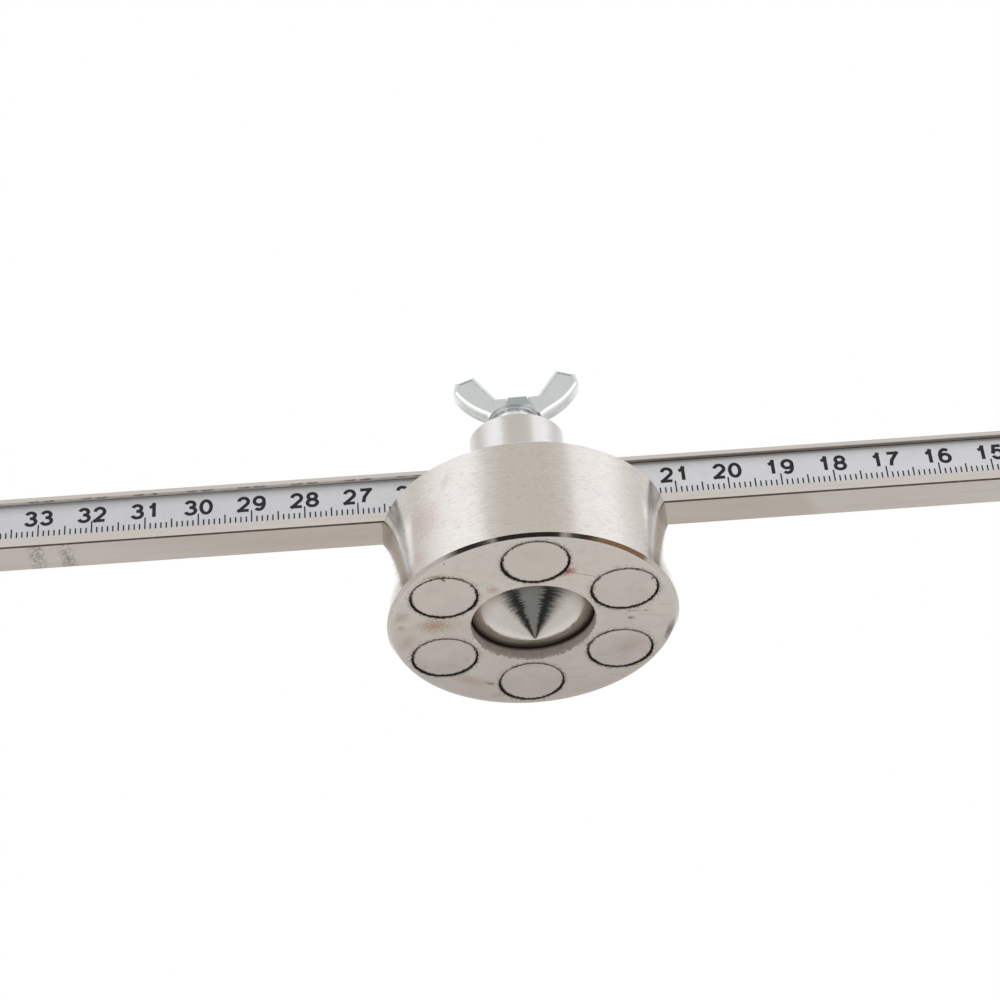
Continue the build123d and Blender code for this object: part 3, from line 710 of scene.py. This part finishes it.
def tape_metal():
    """The silver label: satin, very faintly mottled, with a painted shadow of the groove's upper edge along
    its top, and darker towards its far end.
    """
    g = Finish("scale_silver")
    mottle = g.noise(stretched(g, 0.5, 0.5, 0.5), 4.0, 0.6)
    grain = g.noise(stretched(g, 6, 6, 6), 2.0)
    x, _, z = g.split(stretched(g, 1, 1, 1))
    colour = g.mix(g.between(mottle, 0.35, 0.65), SILVER, scaled(SILVER, 0.95))
    # Painted shadow of the groove's upper edge along the tape's top, weaker towards the torch, and darker
    # still right under that edge
    lip_shadow = g.between(z, *LIP_SHADOW_Z, 0.0, 0.34, smooth=True)
    lip_shadow = g.product(lip_shadow, g.between(x, *LIP_SHADOW_X, 1.0, 0.35))
    colour = g.mix(lip_shadow, colour, SILVER_LIP_SHADOW)
    shaded = g.between(z, *SHADE_Z, 0.0, 0.6, smooth=True)
    colour = g.mix(shaded, colour, SILVER_SHADE)
    colour = g.mix(g.between(x, *SILVER_FAR_X, 0.0, 0.22), colour, SILVER_FAR)
    return g.set(
        Base_Color=colour,
        Metallic=0.15,
        Roughness=g.between(grain, 0.3, 0.7, 0.42, 0.52),
        Normal=g.bump(grain, 0.002 * MM, 0.4),
    )


def wing_metal():
    """Cast zinc, polished, with rougher grey undersides that show the casting's flow lines, painted shade
    round the hub's foot, and matt painted highlights on the stud and on the small walls of the wings'
    recessed panels.
    """
    g = Finish("cast_zinc")
    clouds = g.noise(stretched(g, 0.25, 0.25, 0.25), 4.0)
    grain = g.noise(stretched(g, 5, 5, 5), 3.0)
    flow = g.noise(stretched(g, 0.5, 3.2, 0.5), 4.0, 0.65, 0.6)
    x, y, z = g.split(stretched(g, 1, 1, 1))
    _, fore, up = g.split(g.facing)
    radius = g.vector("LENGTH", g.combine(x, y, 0.0))
    off_plate = g.math("ABSOLUTE", g.total(y, g.product(x, WING_SLOPE)))
    fore = g.math("ABSOLUTE", fore)
    outside = g.between(radius, WING_FOOT_R + 0.1, WING_FOOT_R + 0.3)
    low = g.product(outside, g.between(up, -0.1, -0.3))
    edge_on = g.product(low, g.between(fore, 0.45, 0.25))
    under = g.product(edge_on, g.between(off_plate, WING_HALF - 0.1, WING_HALF + 0.05, 1.0, 0.0))
    bevel = g.product(low, g.between(fore, 0.4, 0.5))
    bevel = g.product(bevel, g.between(off_plate, WING_HALF - 0.1, WING_HALF, 1.0, 0.0))
    step = g.product(edge_on, g.between(off_plate, WING_HALF, WING_HALF + 0.1))
    foot = g.window(z, *[WING_FOOT_Z + rise for rise in WING_FOOT_SHADE_BAND])
    foot = g.product(foot, g.inverse(outside))
    stud = g.between(z, WING_FOOT_Z - 0.1, WING_FOOT_Z, 1.0, 0.0)
    colour = g.mix(g.between(clouds, 0.35, 0.7, 0.0, 0.5), ZINC, scaled(ZINC, 0.88))
    streaks = g.mix(g.between(flow, 0.35, 0.65), ZINC_DARK, ZINC_GREY)
    colour = g.mix(g.product(under, 0.85), colour, streaks)
    colour = g.mix(bevel, colour, ZINC_BEVEL)
    # Painted shade on a band round the hub's foot, just above its underside
    colour = g.mix(g.product(foot, 0.9), colour, ZINC_FOOT_SHADE)
    # Painted highlights: the stud under the hub and the small walls of the wings' recessed panels are
    # coloured nearly white
    colour = g.mix(stud, colour, ZINC_PAINTED_HIGHLIGHT)
    colour = g.mix(step, colour, ZINC_PAINTED_HIGHLIGHT)
    rough = g.total(g.between(clouds, 0.3, 0.7, 0.1, 0.16), g.product(under, 0.14))
    rough = g.total(rough, g.product(g.math("MAXIMUM", stud, foot), 0.12))
    return g.set(
        Base_Color=colour,
        # The painted highlights are made less metallic, so that they stay pale
        Metallic=g.inverse(g.math("MAXIMUM", g.product(step, 0.9), g.product(stud, 0.45))),
        Roughness=rough,
        Normal=g.bump(g.total(grain, g.product(flow, under, 4.0)), 0.003 * MM, 0.5),
    )


def plain_metal(name, colour, rough, scale=1.0):
    """Metal with cloudy wear and fine grain."""
    g = Finish(name)
    clouds = g.noise(stretched(g, 0.12 * scale, 0.12 * scale, 0.12 * scale), 4.0)
    grain = g.noise(stretched(g, 3 * scale, 3 * scale, 3 * scale), 3.0)
    shade = g.mix(g.between(clouds, 0.35, 0.7, 0.0, 0.6), colour, scaled(colour, 0.8))
    return g.set(
        Base_Color=shade,
        Metallic=1.0,
        Roughness=g.between(clouds, 0.3, 0.7, rough * 0.85, rough * 1.25),
        Normal=g.bump(grain, 0.003 * MM, 0.5),
    )


def assign(material, *names):
    """Gives CAD nodes or pieces one material all over."""
    for name in names:
        mesh = NODES[name].data if isinstance(name, str) else name.data
        mesh.materials.clear()
        mesh.materials.append(material)


def add_stage():
    """A pale floor under the tip, which the view from below sees through."""
    mesh = bpy.data.meshes.new("floor")
    half = FLOOR_SIZE / 2
    low = CAD_BOX[0].z
    corners = [(-half, -half, low), (half, -half, low), (half, half, low), (-half, half, low)]
    mesh.from_pydata(corners, [], [(0, 1, 2, 3)])
    floor = bpy.data.objects.new("floor", mesh)
    bpy.context.scene.collection.objects.link(floor)
    g = Finish("floor_paper")
    path = g.add("ShaderNodeLightPath")
    back = g.add("ShaderNodeNewGeometry").outputs["Backfacing"]
    seen = g.product(path.outputs["Is Camera Ray"], g.inverse(back))
    paper = g.add("ShaderNodeBsdfDiffuse")
    fibres = g.noise(stretched(g, 0.02, 0.02, 0.02), 2.0)
    g.put(g.mix(fibres, FLOOR_GREY, FLOOR_FIBRES), paper.inputs["Color"])
    clear = g.add("ShaderNodeBsdfTransparent")
    both = g.add("ShaderNodeMixShader")
    g.put(seen, both.inputs[0])
    g.put(clear.outputs[0], both.inputs[1])
    g.put(paper.outputs[0], both.inputs[2])
    g.put(both.outputs[0], g.output.inputs["Surface"])
    mesh.materials.append(g.material)


def add_world():
    """White for what the camera and glass see, a little less on matt surfaces, and a studio for gloss.

    The studio has a tall softbox on each side of the camera. Under the part it has the dark stand with its
    grey middle, which the centre point mirrors, and the dark that the edges facing the camera mirror.
    """
    world = bpy.data.worlds.new("room")
    bpy.context.scene.world = world
    world.use_nodes = True
    g = Nodes(world.node_tree)
    room = g.tree.nodes["Background"]
    path = g.add("ShaderNodeLightPath")
    x, y, z = g.split(g.add("ShaderNodeTexCoord").outputs["Generated"])
    azimuth = g.product(g.math("ARCTAN2", x, g.product(y, -1.0)), 180 / math.pi)
    boxes = SOFTBOX_SHARES[0][1]
    for (start, low), (end, high) in zip(SOFTBOX_SHARES, SOFTBOX_SHARES[1:]):
        boxes = g.total(boxes, g.between(azimuth, start, end, 0.0, high - low))
    boxes = g.product(boxes, g.window(z, *BOX_HEIGHTS, smooth=True))
    colour = g.mix(boxes, ROOM_LIGHT, SOFTBOX_LIGHT)
    colour = g.mix(g.between(z, *UNDER_HEIGHTS, smooth=True), colour, UNDER_LIGHT)

    # Below: places on a plane one unit under the part, as seen from it
    depth = g.math("MAXIMUM", g.product(z, -1.0), 0.02)
    right = g.math("DIVIDE", x, depth)
    across = g.math("ABSOLUTE", right)
    ahead = g.math("DIVIDE", y, depth)
    below = g.between(z, *BELOW_HEIGHTS)
    near_stand = g.product(below, g.window(ahead, *STAND_AHEAD))
    edge = g.between(right, -0.1, 0.1, *STAND_EDGES)
    stand = g.product(near_stand, g.between(across, STAND_FADE, edge, 1.0, 0.0, smooth=True))
    colour = g.mix(stand, colour, STAND_LIGHT)
    middle = g.product(near_stand, g.between(ahead, *MIDDLE_AHEAD))
    middle = g.product(middle, g.between(across, *MIDDLE_SIDES, 1.0, 0.0))
    colour = g.mix(middle, colour, STAND_MIDDLE)
    line = g.total(FRONT_LINE[0], g.product(across, FRONT_LINE[1]))
    front = g.between(g.math("SUBTRACT", ahead, line), -0.05, 0.05, 1.0, 0.0, smooth=True)
    front = g.product(front, below, g.between(ahead, *FRONT_AHEAD))
    dark = g.product(front, g.between(across, *FRONT_SIDES, 1.0, 0.0))
    colour = g.mix(dark, colour, FRONT_DARK)
    brown = g.product(front, g.window(right, *BROWN_RIGHT), g.between(ahead, *BROWN_AHEAD))
    colour = g.mix(brown, colour, FRONT_BROWN)

    # The softboxes' lower parts, whose lower edge rises to the sides, and the ceiling
    turned = g.math("ABSOLUTE", azimuth)
    low_edge = g.total(LOW_BOX_EDGE[0], g.product(turned, LOW_BOX_EDGE[1]))
    low = g.between(g.math("SUBTRACT", z, low_edge), -0.03, 0.03, smooth=True)
    low = g.product(low, g.between(z, *LOW_BOX_TOP, 1.0, 0.0, smooth=True), g.window(turned, *LOW_BOX_TURNS))
    colour = g.mix(low, colour, LOW_BOX_LIGHT)
    colour = g.mix(g.between(z, *CEILING_HEIGHTS, smooth=True), colour, CEILING_LIGHT)

    plain = g.math("MAXIMUM", path.outputs["Is Camera Ray"], path.outputs["Is Transmission Ray"])
    seen = g.mix(path.outputs["Is Glossy Ray"], SKY_ON_DIFFUSE, colour)
    g.put(g.mix(plain, seen, WHITE), room.inputs["Color"])
    room.inputs["Strength"].default_value = 1.0


def add_lamp(name, azimuth):
    """A softbox that faces the base. Azimuth is in degrees from the camera's side, towards +X.

    Gloss sees the softboxes of the world instead, which have soft edges.
    """
    a, e = math.radians(azimuth), math.radians(LAMP_ELEVATION)
    way = Vector((math.sin(a) * math.cos(e), -math.cos(a) * math.cos(e), math.sin(e)))
    data = bpy.data.lights.new(name, "AREA")
    data.shape = "SQUARE"
    data.size = LAMP_SIZE
    data.energy = 4 * LAMP_RADIANCE * LAMP_SIZE * LAMP_SIZE
    lamp = bpy.data.objects.new(name, data)
    lamp.location = way * LAMP_DISTANCE
    lamp.rotation_euler = way.to_track_quat("Z", "Y").to_euler()
    lamp.visible_camera = False
    lamp.visible_glossy = False
    bpy.context.scene.collection.objects.link(lamp)


def add_lights():
    """Two large softboxes beside and above the camera."""
    add_lamp("softbox_right", 60)
    add_lamp("softbox_left", -58)


# The digits' centre lines in a box one unit wide and one unit high, as points and arcs.
# An arc is (centre x, centre y, radius x, radius y, first angle, last angle).
DIGITS = {
    "0": [[(0.5, 0.5, 0.5, 0.5, 90, 450)]],
    "1": [[(0.16, 0.76), (0.42, 0.82), (0.6, 1.0), (0.6, 0.0)]],
    "2": [[(0.5, 0.7, 0.47, 0.3, 172, -38), (0.04, 0.0), (1.0, 0.0)]],
    "3": [
        [(0.49, 0.76, 0.42, 0.24, 165, -80), (0.4, 0.53)],
        [(0.4, 0.53), (0.49, 0.27, 0.5, 0.27, 80, -165)],
    ],
    "4": [[(0.72, 0.0), (0.72, 1.0), (0.0, 0.28), (1.0, 0.28)]],
    "5": [[(0.92, 1.0), (0.22, 1.0), (0.1, 0.5), (0.5, 0.33, 0.49, 0.33, 130, -160)]],
    "6": [[(0.5, 0.31, 0.48, 0.31, 450, 90)], [(0.52, 0.5, 0.5, 0.5, 50, 200)]],
    "7": [[(0.02, 1.0), (1.0, 1.0), (0.42, 0.42), (0.3, 0.0)]],
    "8": [[(0.5, 0.76, 0.41, 0.24, 270, 630)], [(0.5, 0.26, 0.49, 0.26, 90, 450)]],
    "9": [[(0.5, 0.69, 0.48, 0.31, 270, -90)], [(0.48, 0.5, 0.5, 0.5, 230, 380)]],
}


def stroke_points(parts):
    """The points of a centre line, with its arcs worked out."""
    points = []
    for part in parts:
        if len(part) == 2:
            points.append(Vector(part))
            continue
        x, y, rx, ry, first, last = part
        steps = max(1, round(abs(last - first) / ARC_STEP))
        for i in range(steps + 1):
            angle = math.radians(first + (last - first) * i / steps)
            points.append(Vector((x + rx * math.cos(angle), y + ry * math.sin(angle))))
    return [p for i, p in enumerate(points) if i == 0 or (p - points[i - 1]).length > SAME_POINT]


def stroke_quads(points, half):
    """A quad of even width for each run of a centre line, longer where it has to fill a corner."""
    ways = [(b - a).normalized() for a, b in zip(points, points[1:])]
    closed = (points[0] - points[-1]).length < half / 100
    last = len(ways) - 1
    quads = []
    for i, way in enumerate(ways):
        before = ways[i - 1] if i > 0 or closed else way
        after = ways[(i + 1) % len(ways)] if i < last or closed else way
        start = points[i] - way * half * math.tan(min(way.angle(before), math.pi / 2) / 2)
        end = points[i + 1] + way * half * math.tan(min(way.angle(after), math.pi / 2) / 2)
        across = Vector((-way.y, way.x)) * half
        quads.append([start - across, end - across, end + across, start + across])
    return quads


def covers(quad, point):
    """Whether a convex quad holds a point."""
    turns = []
    for i, corner in enumerate(quad):
        edge, reach = quad[(i + 1) % 4] - corner, point - corner
        turns.append(edge.x * reach.y - edge.y * reach.x)
    return all(t > 0 for t in turns) or all(t < 0 for t in turns)


def digit_shape(digit):
    """A digit's flat triangles, in metres, with its lower left corner at the origin."""
    half = NUMBER_STROKE / 2
    wide, tall = NUMBER_WIDTH - NUMBER_STROKE, NUMBER_HEIGHT - NUMBER_STROKE
    quads = []
    for parts in DIGITS[digit]:
        points = [Vector((half + p.x * wide, half + p.y * tall)) for p in stroke_points(parts)]
        quads += stroke_quads(points, half)
    corners = [corner for quad in quads for corner in quad]
    faces = [list(range(i, i + 4)) for i in range(0, len(corners), 4)]
    points, _, triangles, _, _, _ = delaunay_2d_cdt(corners, [], faces, 1, NUMBER_STROKE * 1e-4)
    inked = []
    for triangle in triangles:
        middle = sum((points[i] for i in triangle), Vector((0, 0))) / 3
        if any(covers(quad, middle) for quad in quads):
            inked.append(triangle)
    return points, inked


def print_on_tape(name, shapes):
    """Ink that stands a little proud of the tape.

    Each shape is its corners, as places along the rail and up, and its faces.
    """
    body = bmesh.new()
    front = TAPE_LOW.y
    for corners, faces in shapes:
        printed = [body.verts.new((x, front - INK_THICK, z)) for x, z in corners]
        for face in faces:
            body.faces.new([printed[i] for i in face])
        on_tape = [body.verts.new((x, front, z)) for x, z in corners]
        for face in faces:
            body.faces.new([on_tape[i] for i in reversed(face)])
        behind = dict(zip(printed, on_tape))
        for edge in [e for e in body.edges if e.is_boundary and e.verts[0] in behind]:
            a, b = edge.verts
            body.faces.new((a, b, behind[b], behind[a]))
    bmesh.ops.recalc_face_normals(body, faces=body.faces)
    mesh = bpy.data.meshes.new(name)
    body.to_mesh(mesh)
    body.free()
    piece = bpy.data.objects.new(name, mesh)
    bpy.context.scene.collection.objects.link(piece)
    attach(piece, "rail")
    return piece


def add_scale():
    """The millimetre marks and the centimetre numbers on the tape."""
    shapes = {d: digit_shape(d) for d in DIGITS}
    numbers = []
    for value in SCALE_NUMBERS:
        text = str(value)
        wide = len(text) * NUMBER_WIDTH + (len(text) - 1) * NUMBER_SPACE
        start = TORCH_X - CENTIMETRE * value - wide / 2
        if not TAPE_LOW.x < start < start + wide < TAPE_HIGH.x:
            continue
        for i, digit in enumerate(text):
            corners, faces = shapes[digit]
            along = start + i * (NUMBER_WIDTH + NUMBER_SPACE)
            placed = [(along + c.x, TAPE_LOW.z + NUMBER_LIFT + c.y) for c in corners]
            numbers.append((placed, faces))
    ticks = []
    first = math.ceil((TORCH_X - TAPE_HIGH.x) / MM)
    last = math.floor((TORCH_X - TAPE_LOW.x) / MM)
    for step in range(first, last + 1):
        x = TORCH_X - step * MM
        size = 10 if step % 10 == 0 else 5 if step % 5 == 0 else 1
        low, high = TAPE_LOW.z, TAPE_LOW.z + TICK_HEIGHTS[size]
        left, right = x - TICK_WIDTH / 2, x + TICK_WIDTH / 2
        if left > TAPE_LOW.x and right < TAPE_HIGH.x:
            ticks.append(([(left, low), (right, low), (right, high), (left, high)], [(0, 1, 2, 3)]))
    return [print_on_tape("scale_numbers", numbers), print_on_tape("scale_ticks", ticks)]


def add_spring():
    """The centre point's spring, which on the real tool shortens as the point goes in, as a copied piece on
    the spindle.
    """
    piece = bpy.data.objects.new("point_spring_coil", NODES["point_spring"].data.copy())
    bpy.context.scene.collection.objects.link(piece)
    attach(piece, "spindle")
    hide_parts("point_spring")
    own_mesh(piece)
    return piece


def finish_parts(marks, spring):
    """Every node and piece gets its material."""
    assign(base_metal(), "base_body")
    assign(turned_metal("spindle_nickel", BOSS_NICKEL, NICKEL_SIDE, 0.26, 0.2), "spindle")
    point = turned_metal("point_steel", POINT_STEEL, POINT_WARM, 0.12, 0.09, 2.6, 4.2, 0.12, POINT_RIM_REFLECTION_R)
    assign(point, "centre_point")
    assign(magnet_metal(), *MAGNET_NAMES)
    assign(rail_metal(), "rail")
    assign(plain_metal("carriage_nickel", RAIL_NICKEL, 0.25), "carriage_body", "leg_front", "leg_rear")
    assign(tape_metal(), "scale_tape")
    assign(wing_metal(), "wing_screw")
    assign(plain_metal("cast_zinc_small", ZINC, 0.16, 2), "torch_screw")
    zinc = plain_metal("zinc_screw", ZINC, 0.25, 2)
    assign(zinc, "rail_stop_washer", "rail_stop_screw", "leg_washers", "axle_nut_front", "axle_nut_rear")
    black = plain_metal("black_oxide", BLACK_OXIDE, 0.4, 2)
    assign(black, "rail_set_screws", "leg_screws", "axle_front", "axle_rear")
    steel = plain_metal("ground_steel", POINT_STEEL, 0.3, 2)
    assign(steel, "thrust_washer", "lower_washer", "retaining_ring", "point_pin", "point_spring", spring)
    assign(plain_metal("wheel_steel", POINT_STEEL, 0.22, 2), "wheel_front", "wheel_rear")
    bronze = plain_metal("turned_bronze", BRONZE, 0.3, 2)
    assign(bronze, "pivot_bush", "pressure_pad", "torch_pad", "spacer_front", "spacer_rear")
    ink = Finish("scale_ink")
    wear = ink.noise(stretched(ink, 4, 4, 4), 3.0)
    ink.set(Base_Color=ink.mix(wear, INK, scaled(INK, 1.8)), Roughness=0.55, Specular_IOR_Level=0.2)
    assign(ink.material, *marks)


add_camera()
add_world()
add_stage()
add_lights()
finish_parts(add_scale(), add_spring())

bpy.context.scene.view_settings.view_transform = "Standard"
